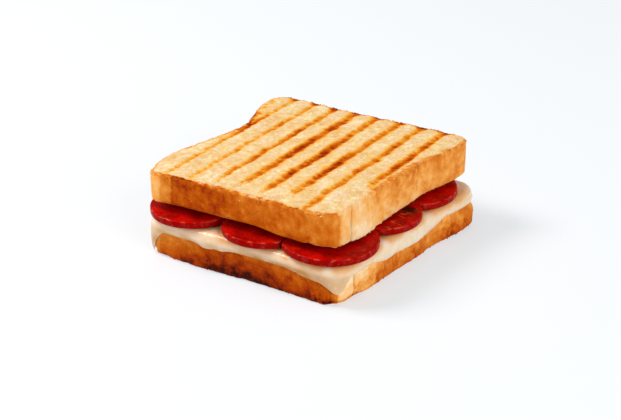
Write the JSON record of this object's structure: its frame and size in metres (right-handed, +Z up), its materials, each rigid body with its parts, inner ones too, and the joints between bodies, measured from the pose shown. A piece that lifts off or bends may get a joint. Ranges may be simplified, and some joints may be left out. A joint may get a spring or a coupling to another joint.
{
  "type": "sausage and cheese toastie",
  "caption": "Square toasted sandwich with grill stripes, melted cheese draped over the lower slice and round cured sausage slices.",
  "frame": {"origin": "on the table, at the centre of the footprint", "axes": "+Z up, through the layers; -Y the loaf's flat bottom crust, +Y its top crust with the two ears; the grill stripes run along Y"},
  "size_m": [0.1094, 0.1092, 0.0391],
  "materials": {
    "bread": "toasted crumb and golden brown crust",
    "cheese": "melted, pale and glossy",
    "sausage": "deep red, oily gloss"
  },
  "bodies": {
    "root": {"bread_bottom": "bread", "cheese": "cheese", "sausage_1": "sausage", "sausage_2": "sausage", "sausage_3": "sausage", "sausage_4": "sausage", "sausage_5": "sausage", "sausage_6": "sausage", "sausage_7": "sausage", "sausage_8": "sausage", "sausage_9": "sausage", "bread_top": "bread"}
  },
  "joints": []
}
